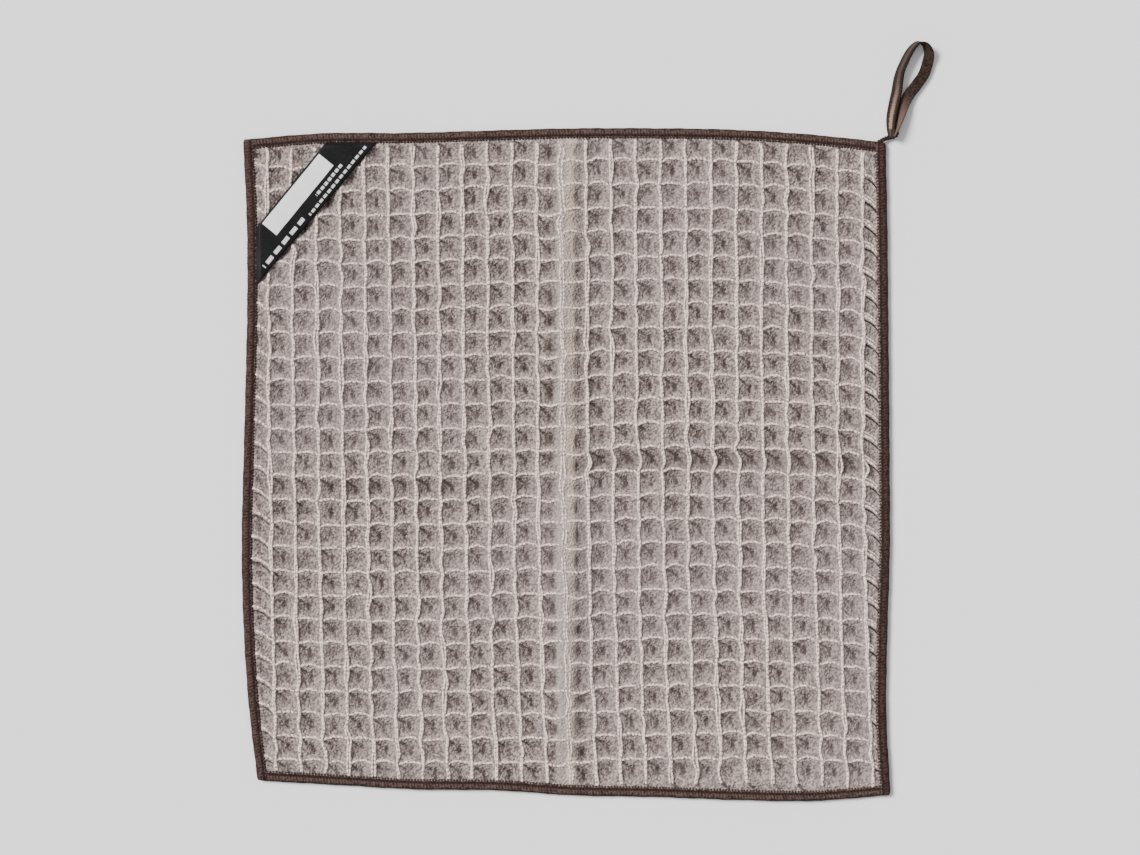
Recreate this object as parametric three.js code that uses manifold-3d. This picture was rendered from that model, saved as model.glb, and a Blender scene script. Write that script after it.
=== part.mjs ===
// A square waffle-weave kitchen towel lying flat, face up, in millimetres with +Z up.
// The origin is on the underside where its two fold lines cross, and +Y is the side
// whose right-hand corner carries the hanging loop.
import * as THREE from "three";
import { mergeVertices } from "three/addons/utils/BufferGeometryUtils.js";
import Module from "manifold-3d";

const wasm = await Module();
wasm.setup();

// Space between two pieces that touch on the real towel, and how far a cutting block
// reaches past what it cuts
const SEAM_GAP = 0.3;
const CUT_MARGIN = 1;

// Outer edge of the towel: its corners, and how far each side stands outside the straight
// line between them at every eighth of its length. The sides run anticlockwise.
const HALF = 150;
const BOTTOM_LEFT = [-142.4, -147.7];
const BOTTOM_RIGHT = [151.2, -154.4];
const TOP_RIGHT = [148.9, 148.2];
const TOP_LEFT = [-149.1, 149.5];
const BOTTOM_BULGE = [1.2, 2.4, 2.0, 3.5, 3.4, 3.9, 3.6];
const RIGHT_BULGE = [-1.7, -0.9, 0.5, 0.7, 0.7, 0.6, 0.5];
const TOP_BULGE = [3.7, 5.7, 6.1, 5.8, 4.6, 3.4, 3.1];
const LEFT_BULGE = [-0.9, -0.3, 1.3, 3.1, 4.8, 4.9, 3.4];
const SIDE_STEPS = 18;

// Waffle weave: ridges on the face, and ridges on the back half a cell further on
const THICKNESS = 3.2;
const RECESS = 1.7;
const CELL_WIDTH = 11.45;
const CELL_HEIGHT = 11.1;
const FIRST_COLUMN_X = -0.5;
const FIRST_ROW_Y = 5.2;
const CELLS_EACH_WAY = 15;

// Bends of the ridges, because the towel has pulled out of square. Each list belongs to
// the first, second and third power of the place along the ridge, from -1 to 1.
const COLUMN_BEND = [-1.7, 1.4, -0.8];
const ROW_BEND = [4.3, -2.4, -6.5];
const COLUMN_SPREAD = 0.85;
const ROW_SPREAD = -2.9;
const COLUMN_DRIFT = 2.6;
const BEND_PASSES = 4;

// Creases from folding the towel in four
const CREASE_RISE = 1.6;
const CREASE_REACH = 17;
const CROSS_RISE = 1.1;
const CROSS_RIDGE_Y = -7.4;
const CROSS_REACH = 13;
const VALLEY_FLANK_Y = 15;
const CROSSING_FLAT = 14;
const CREASE_GROWS_OVER = 26;
const EDGE_FLAT = 9;

// Overlocked edge: a wrapping of thread, open inwards where the crushed cloth goes in
const EDGE_WIDTH = 4.9;
const EDGE_HEIGHT = 3.0;
const EDGE_WALL = 1.2;
const EDGE_ROUND = 0.7;
const CRUSHED_LOW = 1.0;
const CRUSHED_HIGH = 2.0;
const CRUSHED_OVERLAP = 1.0;

// Ribbon label across the top left corner, sewn into the edge at both ends
const LABEL_THICKNESS = 0.8;
const LABEL_LEFT_NEAR = [-142.0, 109.4];
const LABEL_LEFT_FAR = [-142.0, 82.6];
const LABEL_TOP_NEAR = [-111.1, 147.2];
const LABEL_TOP_FAR = [-87.5, 147.2];

// Hanging loop: a closed band of tape that leans over as it lies. Each row of the route is
// its place right of the foot, its place above the foot, and its lean in degrees.
const TAPE_WIDTH = 5.3;
const TAPE_THICKNESS = 1.0;
const LOOP_FOOT = [151.6, 150.8];
const LOOP_STEPS = 66;
const LOOP_ROUTE = [
  [-0.3, 4.1, 28],
  [-0.1, 8.7, 38],
  [0.7, 14.5, 46],
  [1.9, 20.9, 50],
  [2.7, 26.0, 48],
  [3.8, 30.1, 42],
  [5.8, 34.7, 36],
  [8.0, 38.4, 34],
  [10.4, 41.4, 24],
  [12.9, 42.8, 8],
  [15.6, 41.3, -20],
  [17.1, 38.0, -54],
  [16.6, 34.2, -76],
  [14.9, 29.0, -80],
  [12.2, 24.3, -80],
  [9.0, 19.8, -74],
  [6.5, 15.9, -66],
  [4.9, 11.7, -56],
  [3.8, 7.5, -44],
  [2.6, 3.6, -26],
  [1.3, 1.2, -4],
  [-0.1, 1.6, 14],
];

// Thread chain between the towel's corner and the foot of the loop
const NECK_WIDTH = 1.8;
const NECK_SIDES = 8;
const NECK_START = [145.3, 149.1, 1.4];
const NECK_END = [150.6, 150.9, 1.7];

function toSolid(geometry) {
  const bare = geometry.clone();
  bare.deleteAttribute("normal");
  bare.deleteAttribute("uv");
  const merged = mergeVertices(bare, 1e-4);
  return new wasm.Manifold(
    new wasm.Mesh({
      numProp: 3,
      vertProperties: merged.attributes.position.array,
      triVerts: new Uint32Array(merged.index.array),
    }),
  );
}

function fromPoints(points, triangles) {
  return new THREE.BufferGeometry()
    .setAttribute("position", new THREE.Float32BufferAttribute(points.flat(), 3))
    .setIndex(triangles.flat());
}

function toGeometry(solid) {
  const mesh = solid.getMesh();
  return new THREE.BufferGeometry()
    .setAttribute("position", new THREE.BufferAttribute(mesh.vertProperties, 3))
    .setIndex(new THREE.BufferAttribute(mesh.triVerts, 1));
}

// One side of the towel's outer edge, and its frame at a distance along it
function makeSide(start, end, bulge) {
  const from = new THREE.Vector3(...start, 0);
  const to = new THREE.Vector3(...end, 0);
  const along = to.clone().sub(from).normalize();
  const outward = new THREE.Vector3(along.y, -along.x, 0);
  const stations = [0, ...bulge, 0].map((out, i) =>
    from.clone().lerp(to, i / (bulge.length + 1)).addScaledVector(outward, out),
  );
  const curve = new THREE.CatmullRomCurve3(stations);
  const length = curve.getLength();
  const frameAt = (distance) => {
    const point = curve.getPointAt(distance / length);
    const tangent = curve.getTangentAt(distance / length);
    return { point, tangent, inward: new THREE.Vector3(-tangent.y, tangent.x, 0) };
  };
  return { length, frameAt };
}

const bottom = makeSide(BOTTOM_LEFT, BOTTOM_RIGHT, BOTTOM_BULGE);
const right = makeSide(BOTTOM_RIGHT, TOP_RIGHT, RIGHT_BULGE);
const top = makeSide(TOP_RIGHT, TOP_LEFT, TOP_BULGE);
const left = makeSide(TOP_LEFT, BOTTOM_LEFT, LEFT_BULGE);
const SIDES = [bottom, right, top, left];

// Where a line at one depth inside the end of a side meets a line at another depth
// inside the start of the next side
function cornerInside(side, depth, nextSide, nextDepth) {
  const a = side.frameAt(side.length - nextDepth);
  const b = nextSide.frameAt(depth);
  const p = a.point.clone().addScaledVector(a.inward, depth);
  const q = b.point.clone().addScaledVector(b.inward, nextDepth);
  const cross = a.tangent.x * b.tangent.y - a.tangent.y * b.tangent.x;
  const step = ((q.x - p.x) * b.tangent.y - (q.y - p.y) * b.tangent.x) / cross;
  return p.addScaledVector(a.tangent, step);
}

// The towel's outline at one depth inside its outer edge
function outlineInside(depth) {
  const points = [];
  SIDES.forEach((side, i) => {
    const nextSide = SIDES[(i + 1) % SIDES.length];
    for (let step = 1; step < SIDE_STEPS; step++) {
      const { point, inward } = side.frameAt((side.length * step) / SIDE_STEPS);
      points.push(point.addScaledVector(inward, depth));
    }
    points.push(cornerInside(side, depth, nextSide, depth));
  });
  return points;
}

function prism(outline, low, high) {
  const shape = new THREE.Shape(outline.map((p) => new THREE.Vector2(p.x, p.y)));
  const options = { depth: high - low, bevelEnabled: false };
  return toSolid(new THREE.ExtrudeGeometry(shape, options).translate(0, 0, low));
}

function bendAt(bends, place) {
  return bends.reduce((sum, bend, i) => sum + bend * place ** (i + 1), 0);
}

// Place of a weave crossing, by its column and row, on the pulled cloth. Each ridge's bend
// depends on where the other one lies, so a few passes settle both.
function weavePoint(column, row) {
  const c = column / CELLS_EACH_WAY;
  const r = row / CELLS_EACH_WAY;
  let x = CELL_WIDTH * column;
  let y = CELL_HEIGHT * row;
  for (let pass = 0; pass < BEND_PASSES; pass++) {
    const v = y / HALF;
    const columnSpread = COLUMN_SPREAD * c * v ** 2 + COLUMN_DRIFT * c ** 2;
    x = FIRST_COLUMN_X + CELL_WIDTH * column + bendAt(COLUMN_BEND, v) + columnSpread;
    const u = x / HALF;
    y = FIRST_ROW_Y + CELL_HEIGHT * row + bendAt(ROW_BEND, u) + ROW_SPREAD * r * u ** 2;
  }
  return [x, y];
}

// A block with the waffle relief on one side and a flat cap on the other. Ridges run round
// every cell at ridgeZ, and the middle of each cell is a recess at recessZ.
function reliefBlock(shift, ridgeZ, recessZ, capZ) {
  const count = 2 * CELLS_EACH_WAY;
  const points = [];
  const triangles = [];
  for (let row = 0; row <= count; row++)
    for (let column = 0; column <= count; column++) {
      const [x, y] = weavePoint(
        column - CELLS_EACH_WAY + shift,
        row - CELLS_EACH_WAY + shift,
      );
      points.push([x, y, ridgeZ], [x, y, capZ]);
    }
  const reliefAt = (column, row) => 2 * (row * (count + 1) + column);
  const capAt = (column, row) => reliefAt(column, row) + 1;
  for (let row = 0; row < count; row++)
    for (let column = 0; column < count; column++) {
      const [x, y] = weavePoint(
        column - CELLS_EACH_WAY + shift + 0.5,
        row - CELLS_EACH_WAY + shift + 0.5,
      );
      const middle = points.push([x, y, recessZ(x, y)]) - 1;
      const ring = [
        [column, row],
        [column + 1, row],
        [column + 1, row + 1],
        [column, row + 1],
      ];
      ring.forEach((corner, i) => {
        const next = ring[(i + 1) % ring.length];
        triangles.push([reliefAt(...corner), reliefAt(...next), middle]);
      });
      const [a, b, c, d] = ring.map((corner) => capAt(...corner));
      triangles.push([a, c, b], [a, d, c]);
    }
  for (let i = 0; i < count; i++) {
    const walls = [
      [i, 0, i + 1, 0],
      [count, i, count, i + 1],
      [i + 1, count, i, count],
      [0, i + 1, 0, i],
    ];
    walls.forEach(([c0, r0, c1, r1]) => {
      triangles.push([capAt(c0, r0), capAt(c1, r1), reliefAt(c1, r1)]);
      triangles.push([capAt(c0, r0), reliefAt(c1, r1), reliefAt(c0, r0)]);
    });
  }
  const facesUp = capZ < ridgeZ;
  return toSolid(fromPoints(points, facesUp ? triangles : triangles.map((t) => t.reverse())));
}

// Height that the fold creases give the cloth above the table
function creaseLift(x, y, edgeDistance) {
  const bump = (distance, reach) =>
    distance < reach ? Math.cos((Math.PI * distance) / (2 * reach)) ** 2 : 0;
  const grows = (distance, start) =>
    THREE.MathUtils.smoothstep(distance, start, start + CREASE_GROWS_OVER);
  const upright = CREASE_RISE * bump(Math.abs(x), CREASE_REACH) * grows(Math.abs(y), CROSSING_FLAT);
  const ridge = bump(Math.abs(y - CROSS_RIDGE_Y), CROSS_REACH) * grows(-x, CREASE_REACH);
  const flanks = bump(Math.abs(Math.abs(y) - VALLEY_FLANK_Y), CROSS_REACH) * grows(x, CREASE_REACH);
  const rise = upright + CROSS_RISE * (ridge + flanks);
  return rise * grows(edgeDistance, EDGE_FLAT);
}

function clothPanel() {
  const pressed = (x, y) => Math.hypot(x, y) < CROSSING_FLAT;
  const face = reliefBlock(0, THICKNESS, () => THICKNESS - RECESS, -THICKNESS);
  const back = reliefBlock(0.5, 0, (x, y) => (pressed(x, y) ? 0 : RECESS), 2 * THICKNESS);
  const clothDepth = EDGE_WIDTH + SEAM_GAP;
  const cutOut = prism(outlineInside(clothDepth), -CUT_MARGIN, THICKNESS + CUT_MARGIN);
  const rim = prism(outlineInside(EDGE_WALL + SEAM_GAP), CRUSHED_LOW, CRUSHED_HIGH);
  const rimHole = prism(
    outlineInside(clothDepth + CRUSHED_OVERLAP),
    CRUSHED_LOW - CUT_MARGIN,
    CRUSHED_HIGH + CUT_MARGIN,
  );
  const weave = face.intersect(back).intersect(cutOut);
  const geometry = toGeometry(weave.add(rim.subtract(rimHole)));
  const position = geometry.attributes.position;
  for (let i = 0; i < position.count; i++) {
    const x = position.getX(i);
    const y = position.getY(i);
    const edgeDistance = HALF - Math.max(Math.abs(x), Math.abs(y));
    position.setZ(i, position.getZ(i) + creaseLift(x, y, edgeDistance));
  }
  return geometry;
}

// The skin over rings of points, which is left open at both ends unless it is closed round
function skin(rings, closed) {
  const size = rings[0].length;
  const triangles = [];
  const spans = closed ? rings.length : rings.length - 1;
  for (let ring = 0; ring < spans; ring++)
    for (let i = 0; i < size; i++) {
      const a = ring * size + i;
      const b = ring * size + ((i + 1) % size);
      const c = ((ring + 1) % rings.length) * size + i;
      const d = ((ring + 1) % rings.length) * size + ((i + 1) % size);
      triangles.push([a, b, c], [b, d, c]);
    }
  return { points: rings.flat().map((p) => [p.x, p.y, p.z]), triangles, size };
}

// One overlocked edge, swept with its open side inwards. Where the sides before and after
// it are given, its ends are cut to lie along their edgings.
function overlock(side, before, after) {
  const slotLow = CRUSHED_LOW - SEAM_GAP;
  const slotHigh = CRUSHED_HIGH + SEAM_GAP;
  const section = [
    [0, EDGE_ROUND],
    [EDGE_ROUND, 0],
    [EDGE_WIDTH, 0],
    [EDGE_WIDTH, slotLow],
    [EDGE_WALL, slotLow],
    [EDGE_WALL, slotHigh],
    [EDGE_WIDTH, slotHigh],
    [EDGE_WIDTH, EDGE_HEIGHT - EDGE_ROUND / 2],
    [EDGE_WIDTH - EDGE_ROUND, EDGE_HEIGHT],
    [EDGE_ROUND, EDGE_HEIGHT],
    [0, EDGE_HEIGHT - EDGE_ROUND],
  ];
  const cutDepth = EDGE_WIDTH + SEAM_GAP;
  const rings = [];
  for (let step = 0; step <= SIDE_STEPS; step++) {
    const { point, inward } = side.frameAt((side.length * step) / SIDE_STEPS);
    rings.push(
      section.map(([depth, z]) => {
        if (before && step === 0) return cornerInside(before, cutDepth, side, depth).setZ(z);
        if (after && step === SIDE_STEPS) return cornerInside(side, depth, after, cutDepth).setZ(z);
        return point.clone().addScaledVector(inward, depth).setZ(z);
      }),
    );
  }
  const { points, triangles, size } = skin(rings, false);
  const shape = section.map(([depth, z]) => new THREE.Vector2(depth, z));
  const cap = THREE.ShapeUtils.triangulateShape(shape, []);
  const last = (rings.length - 1) * size;
  cap.forEach(([a, b, c]) => {
    triangles.push([a, c, b], [last + a, last + b, last + c]);
  });
  return fromPoints(points, triangles);
}

function cornerLabel() {
  const corners = [LABEL_LEFT_NEAR, LABEL_LEFT_FAR, LABEL_TOP_FAR, LABEL_TOP_NEAR];
  const shape = new THREE.Shape(corners.map(([x, y]) => new THREE.Vector2(x, y)));
  const options = { depth: LABEL_THICKNESS, bevelEnabled: false };
  return new THREE.ExtrudeGeometry(shape, options).translate(0, 0, THICKNESS + SEAM_GAP);
}

// The tape turns about its own middle line by its lean, and lies with its lower edge on
// the table all the way round
function hangingLoop() {
  const route = new THREE.CatmullRomCurve3(
    LOOP_ROUTE.map(([x, y, lean]) => new THREE.Vector3(x, y, lean)),
    true,
    "catmullrom",
    0.5,
  );
  const rings = [];
  for (let step = 0; step < LOOP_STEPS; step++) {
    const place = route.getPoint(step / LOOP_STEPS);
    const lean = THREE.MathUtils.degToRad(place.z);
    const travel = route.getTangent(step / LOOP_STEPS).setZ(0).normalize();
    const outward = new THREE.Vector3(-travel.y, travel.x, 0);
    const across = new THREE.Vector3(0, 0, Math.cos(lean)).addScaledVector(outward, -Math.sin(lean));
    const through = new THREE.Vector3(0, 0, Math.sin(lean)).addScaledVector(outward, Math.cos(lean));
    const height = (TAPE_WIDTH * Math.cos(lean) + TAPE_THICKNESS * Math.abs(Math.sin(lean))) / 2;
    const middle = new THREE.Vector3(LOOP_FOOT[0] + place.x, LOOP_FOOT[1] + place.y, height);
    const corners = [
      [1, 1],
      [1, -1],
      [-1, -1],
      [-1, 1],
    ];
    rings.push(
      corners.map(([w, t]) =>
        middle
          .clone()
          .addScaledVector(across, (w * TAPE_WIDTH) / 2)
          .addScaledVector(through, (t * TAPE_THICKNESS) / 2),
      ),
    );
  }
  const { points, triangles } = skin(rings, true);
  return fromPoints(points, triangles);
}

function loopNeck() {
  const corners = Array.from({ length: NECK_SIDES }, (_, i) =>
    new THREE.Vector2(NECK_WIDTH / 2, 0).rotateAround(
      new THREE.Vector2(),
      (2 * Math.PI * i) / NECK_SIDES,
    ),
  );
  const shape = new THREE.Shape(corners);
  const path = new THREE.LineCurve3(
    new THREE.Vector3(...NECK_START),
    new THREE.Vector3(...NECK_END),
  );
  return new THREE.ExtrudeGeometry(shape, { steps: 1, extrudePath: path, bevelEnabled: false });
}

const CLOTH = { color: 0xa09592, roughness: 0.95, metalness: 0 };
const EDGING = { color: 0x5b4942, roughness: 0.85, metalness: 0 };
const RIBBON = { color: 0x2b2a2c, roughness: 0.55, metalness: 0 };
const TAPE = { color: 0x735b51, roughness: 0.85, metalness: 0 };

const towel = new THREE.Group();

function addPiece(name, geometry, finish) {
  const mesh = new THREE.Mesh(geometry, new THREE.MeshStandardMaterial(finish));
  mesh.name = name;
  towel.add(mesh);
}

addPiece("cloth_panel", clothPanel(), CLOTH);
addPiece("overlock_bottom", overlock(bottom, left, right), EDGING);
addPiece("overlock_right", overlock(right), EDGING);
addPiece("overlock_top", overlock(top, right, left), EDGING);
addPiece("overlock_left", overlock(left), EDGING);
addPiece("corner_label", cornerLabel(), RIBBON);
addPiece("hanging_loop", hangingLoop(), TAPE);
addPiece("loop_neck", loopNeck(), EDGING);

export default towel;
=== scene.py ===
import bpy
import numpy as np
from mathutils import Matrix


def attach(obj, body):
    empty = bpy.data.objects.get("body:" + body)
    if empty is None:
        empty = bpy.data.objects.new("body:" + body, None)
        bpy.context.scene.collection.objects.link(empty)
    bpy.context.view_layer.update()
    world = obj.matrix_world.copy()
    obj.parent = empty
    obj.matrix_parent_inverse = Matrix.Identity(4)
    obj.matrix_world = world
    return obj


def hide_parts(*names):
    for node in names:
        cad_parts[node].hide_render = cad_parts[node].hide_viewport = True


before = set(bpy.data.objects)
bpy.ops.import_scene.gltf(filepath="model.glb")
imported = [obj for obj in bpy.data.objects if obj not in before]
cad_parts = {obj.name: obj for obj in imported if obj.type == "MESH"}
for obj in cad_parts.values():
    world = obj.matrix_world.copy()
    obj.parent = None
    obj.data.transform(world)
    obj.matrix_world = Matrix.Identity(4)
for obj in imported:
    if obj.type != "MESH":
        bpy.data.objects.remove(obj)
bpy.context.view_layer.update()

# Cloth
# One square of thick microfibre waffle weave, grey-taupe. It has ridges round every cell on the
# face, and ridges half a cell further on at the back. Its rim is crushed flat inside the edging.

# One millimetre in the frame's metres. Sizes without it are in millimetres
MM = 0.001
HALF = 150.0
BOTTOM_LEFT = (-142.4, -147.7)
BOTTOM_RIGHT = (151.2, -154.4)
TOP_RIGHT = (148.9, 148.2)
TOP_LEFT = (-149.1, 149.5)
# Start and end of each outer edge, and how far it stands out at every eighth of its length
SIDES = {
    "bottom": (BOTTOM_LEFT, BOTTOM_RIGHT, (1.2, 2.4, 2.0, 3.5, 3.4, 3.9, 3.6)),
    "right": (BOTTOM_RIGHT, TOP_RIGHT, (-1.7, -0.9, 0.5, 0.7, 0.7, 0.6, 0.5)),
    "top": (TOP_RIGHT, TOP_LEFT, (3.7, 5.7, 6.1, 5.8, 4.6, 3.4, 3.1)),
    "left": (TOP_LEFT, BOTTOM_LEFT, (-0.9, -0.3, 1.3, 3.1, 4.8, 4.9, 3.4)),
}
THICKNESS = 3.2
RECESS = 2.1
CELL_WIDTH = 11.45
CELL_HEIGHT = 11.1
FIRST_COLUMN_X = -0.5
FIRST_ROW_Y = 5.2
CELLS_EACH_WAY = 15
COLUMN_BEND = (-1.7, 1.4, -0.8)
ROW_BEND = (4.3, -2.4, -6.5)
COLUMN_SPREAD = 0.85
ROW_SPREAD = -2.9
COLUMN_DRIFT = 2.6
LAST_COLUMNS = (-12, 12)
LAST_ROWS = (-13, 12)
RIM_INSET = 1.5
RIM_LOW = 1.0
RIM_HIGH = 2.0
RIM_ENDS = 4.1
LIP_AT = 5.0
LIP_HIGH = 2.6
RELIEF_FULL = 7.6
RIGHT_PULL = -0.7
LEFT_PULL = -0.5
FOLD_X = -1.0
FOLD_ROW = -1
FOLD_KINK = 1.1
CREASE_RISE = 1.6
CREASE_REACH = 17
PRESSED_RISE = 0.7
PRESSED_REACH = 9
CROSS_RISE = 1.1
CROSS_REACH = 13
CROSS_RIDGE_Y = -7.4
VALLEY_FLANK_Y = 15
CROSSING_FLAT = 14
CREASE_GROWS = 26
EDGE_FLAT = 9
SLIT_DEEP = 0.7
GRAIN_HEIGHT = 0.12
GRAIN_MOST = 0.3
FOLD_FILLED = 0.75
LABEL_PRESSED = 0.4
# Places of the mesh lines across each cell, on the face and on the back
FACE_STEPS = (0, 0.06, 0.14, 0.25, 0.39, 0.5, 0.61, 0.75, 0.86, 0.94)
BACK_STEPS = (0, 0.14, 0.25, 0.5, 0.75, 0.86)
RIM_STEPS = 9
# The two long edges of the corner label, from the left edging to the top one
LABEL_NEAR = ((-142.0, 109.4), (-111.1, 147.2))
LABEL_FAR = ((-142.0, 82.6), (-87.5, 147.2))
# Stretches across the upright fold: two beside it with painted shade in their cells, and one in it
# that is yellowed
RIGHT_FLANK = (6.2 * MM, 9.8 * MM)
LEFT_FLANK = (-9.4 * MM, -4.4 * MM)
YELLOWED = (0.6 * MM, 4.6 * MM)
# Half widths of the painted shade in a cell's slit and in the oval on its floor, in cells, where it
# ends and where it is full
SLIT_ACROSS = (0.11, 0.02)
SLIT_UP = (0.3, 0.08)
PIT_SHADE = (0.32, 0.2)
# Colours as the eye sees them, and how far each is mixed in
RIDGE_COLOUR = (145, 131, 125)
# Painted shade down in the cells, mixed in by the hollow mask
HOLLOW_SHADE_COLOUR = (115, 102, 97)
GRAIN_DARK = (62, 53, 49)
GRAIN_PALE = (212, 194, 187)
# Painted shade on the left and right walls of the cells
LEFT_WALL_SHADE_COLOUR = (88, 76, 72)
RIGHT_WALL_SHADE_COLOUR = (92, 80, 76)
# Painted shade in an oval on each cell's floor, and in the cells beside the upright fold
PIT_SHADOW_COLOUR = (72, 60, 56)
# Painted highlight along the pressed upright fold
FOLD_HIGHLIGHT_COLOUR = (178, 164, 156)
# Painted shade along the level fold
FURROW_SHADE_COLOUR = (92, 79, 75)
# Painted shade in the slit and the crease of each cell
SLIT_SHADE_COLOUR = (46, 36, 33)
# Painted shade in the slanted grooves by the edging
GROOVE_SHADE_COLOUR = (20, 15, 14)
YELLOWED_COLOUR = (206, 191, 164)
CAST_COLOUR = (160, 148, 150)
GRAIN_SHARE = 0.5
LEFT_WALL_SHADE_SHARE = 0.07
RIGHT_WALL_SHADE_SHARE = 0.3
PIT_SHADOW_SHARE = 0.14
FOLD_HIGHLIGHT_SHARE = 0.5
FURROW_SHADE_SHARE = 0.42
SLIT_SHADE_SHARE = 0.85
# Numbers of fibre tufts, of mottled patches and of broad casts in a metre
CLOTH_TUFTS = 940.0
CLOTH_PATCHES = 95.0
CLOTH_CASTS = 9.0

chance = np.random.default_rng(11)


def ease(low, high, value):
    """0 below low, 1 above high, and three t squared less two t cubed between them."""
    t = np.clip((value - low) / (high - low), 0, 1)
    return t * t * (3 - 2 * t)


def between_middle(p, q, r, s, f):
    """The Catmull-Rom cubic through four values, read at a share f of the way from q to r."""
    cubic = 3 * q - p - 3 * r + s
    return 0.5 * (2 * q + (r - p) * f + (2 * p - 5 * q + 4 * r - s) * f**2 + cubic * f**3)


def smooth_through(values, place):
    """A Catmull-Rom curve through evenly spaced values, read at places from 0 to 1."""
    values = np.asarray(values, float)
    before = 2 * values[0] - values[1]
    after = 2 * values[-1] - values[-2]
    held = np.concatenate([[before], values, [after]])
    spot = np.clip(place, 0, 1) * (len(values) - 1)
    i = np.minimum(spot.astype(int), len(values) - 2)
    return between_middle(held[i], held[i + 1], held[i + 2], held[i + 3], spot - i)


def side_line(side, place):
    """Outer edge of one side at places from 0 to 1: the straight line between its corners, pushed
    out by a smooth curve through the bulge at every eighth."""
    start, end, bulge = SIDES[side]
    way = np.subtract(end, start)
    outward = np.array([way[1], -way[0]]) / np.linalg.norm(way)
    out = smooth_through((0, *bulge, 0), place)
    return np.asarray(start) + np.outer(place, way) + np.outer(out, outward)


EDGE_LINES = {side: side_line(side, np.linspace(0, 1, 400)) for side in SIDES}


def edge_x(side, y):
    """x of the left or right outer edge at a height y, read between the points of its line."""
    line = EDGE_LINES[side][np.argsort(EDGE_LINES[side][:, 1])]
    return np.interp(y, line[:, 1], line[:, 0])


def edge_y(side, x):
    """y of the bottom or top outer edge at a place x, read between the points of its line."""
    line = EDGE_LINES[side][np.argsort(EDGE_LINES[side][:, 0])]
    return np.interp(x, line[:, 0], line[:, 1])


def inset_of(x, y):
    """Distance inside the nearest outer edge, measured across or along the weave."""
    sideways = np.minimum(x - edge_x("left", y), edge_x("right", y) - x)
    upward = np.minimum(y - edge_y("bottom", x), edge_y("top", x) - y)
    return np.minimum(sideways, upward)


def bend_at(bends, place):
    """The sum of each bend times its own power of the place: first, second and third."""
    return sum(bend * place ** (i + 1) for i, bend in enumerate(bends))


def weave_point(column, row):
    """Place of a weave crossing on the pulled cloth. Each ridge line is evenly spaced, plus a cubic
    bend along it and a spread that grows with its number. A few passes settle x and y together."""
    c, r = column / CELLS_EACH_WAY, row / CELLS_EACH_WAY
    x, y = CELL_WIDTH * column, CELL_HEIGHT * row
    for _ in range(4):
        v = y / HALF
        spread = COLUMN_SPREAD * c * v**2 + COLUMN_DRIFT * c**2
        x = FIRST_COLUMN_X + CELL_WIDTH * column + bend_at(COLUMN_BEND, v) + spread
        u = x / HALF
        y = FIRST_ROW_Y + CELL_HEIGHT * row + bend_at(ROW_BEND, u) + ROW_SPREAD * r * u**2
    return x, y


def weave_lines(last, steps):
    """Numbers of the weave lines that the mesh follows between the last whole ridges: every cell's
    number plus each of its steps, and the last ridge."""
    cells = np.arange(last[0], last[1])
    return np.append((cells[:, None] + np.asarray(steps)).ravel(), last[1])


def to_rim(column, row):
    """Weave numbers of the points where the lines through them leave the cloth, left, right,
    bottom and top, found by stepping the number by the distance still to go."""
    ends = []
    for side, inward in (("left", 1), ("right", -1)):
        found = np.array(column, float)
        for _ in range(6):
            x, y = weave_point(found, row)
            found = found + (edge_x(side, y) + inward * RIM_INSET - x) / CELL_WIDTH
        ends.append(found)
    for side, inward in (("bottom", 1), ("top", -1)):
        found = np.array(row, float)
        for _ in range(6):
            x, y = weave_point(column, found)
            found = found + (edge_y(side, x) + inward * RIM_INSET - y) / CELL_HEIGHT
        ends.append(found)
    return ends


def to_ends(nominal, last, low_end, high_end):
    """Weave numbers whose part outside the last ridges, from 0 to 1, is stretched so that 1 falls
    on the rim, which lies at low_end and high_end."""
    below = last[0] - (last[0] - nominal) * (last[0] - low_end)
    above = last[1] + (nominal - last[1]) * (high_end - last[1])
    return np.where(nominal < last[0], below, np.where(nominal > last[1], above, nominal))


def weave_grid(steps, rim_steps):
    """Weave numbers of a whole grid. Inside, its lines keep to the weave. Outside the last whole
    ridges, they share out the strip up to the rim evenly."""
    across = weave_lines(LAST_COLUMNS, steps)
    up = weave_lines(LAST_ROWS, steps)
    out = np.arange(1, rim_steps + 1) / rim_steps
    column = np.concatenate([LAST_COLUMNS[0] - out[::-1], across, LAST_COLUMNS[1] + out])
    row = np.concatenate([LAST_ROWS[0] - out[::-1], up, LAST_ROWS[1] + out])
    nominal_column, nominal_row = np.meshgrid(column, row)
    column, row = nominal_column, nominal_row
    for _ in range(3):
        left, right, bottom, top = to_rim(column, row)
        column = to_ends(nominal_column, LAST_COLUMNS, left, right)
        row = to_ends(nominal_row, LAST_ROWS, bottom, top)
    return column, row


# Chances of each ridge and cell. Near the upright fold the level ridges bend either way
CELLS = 2 * CELLS_EACH_WAY + 2
COLUMN_WANDER = chance.normal(0, 0.36, (CELLS, 2 * CELLS))
ROW_WANDER = chance.normal(0, 0.2, (CELLS, CELLS))
ROW_ARCH = chance.uniform(0.6, 2.1, (CELLS, CELLS))
PIT_DEPTH = chance.uniform(0.78, 1.16, (CELLS, CELLS))
PIT_SHIFT = chance.normal(0, 0.1, (2, CELLS, CELLS))
SLIT_DEPTH = chance.uniform(0.2, 1.0, (CELLS, CELLS))
BY_FOLD = slice(CELLS_EACH_WAY - 1, CELLS_EACH_WAY + 1)
ROW_ARCH[:, BY_FOLD] = np.random.default_rng(5).uniform(-2.1, 1.7, (CELLS, 2))


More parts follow.
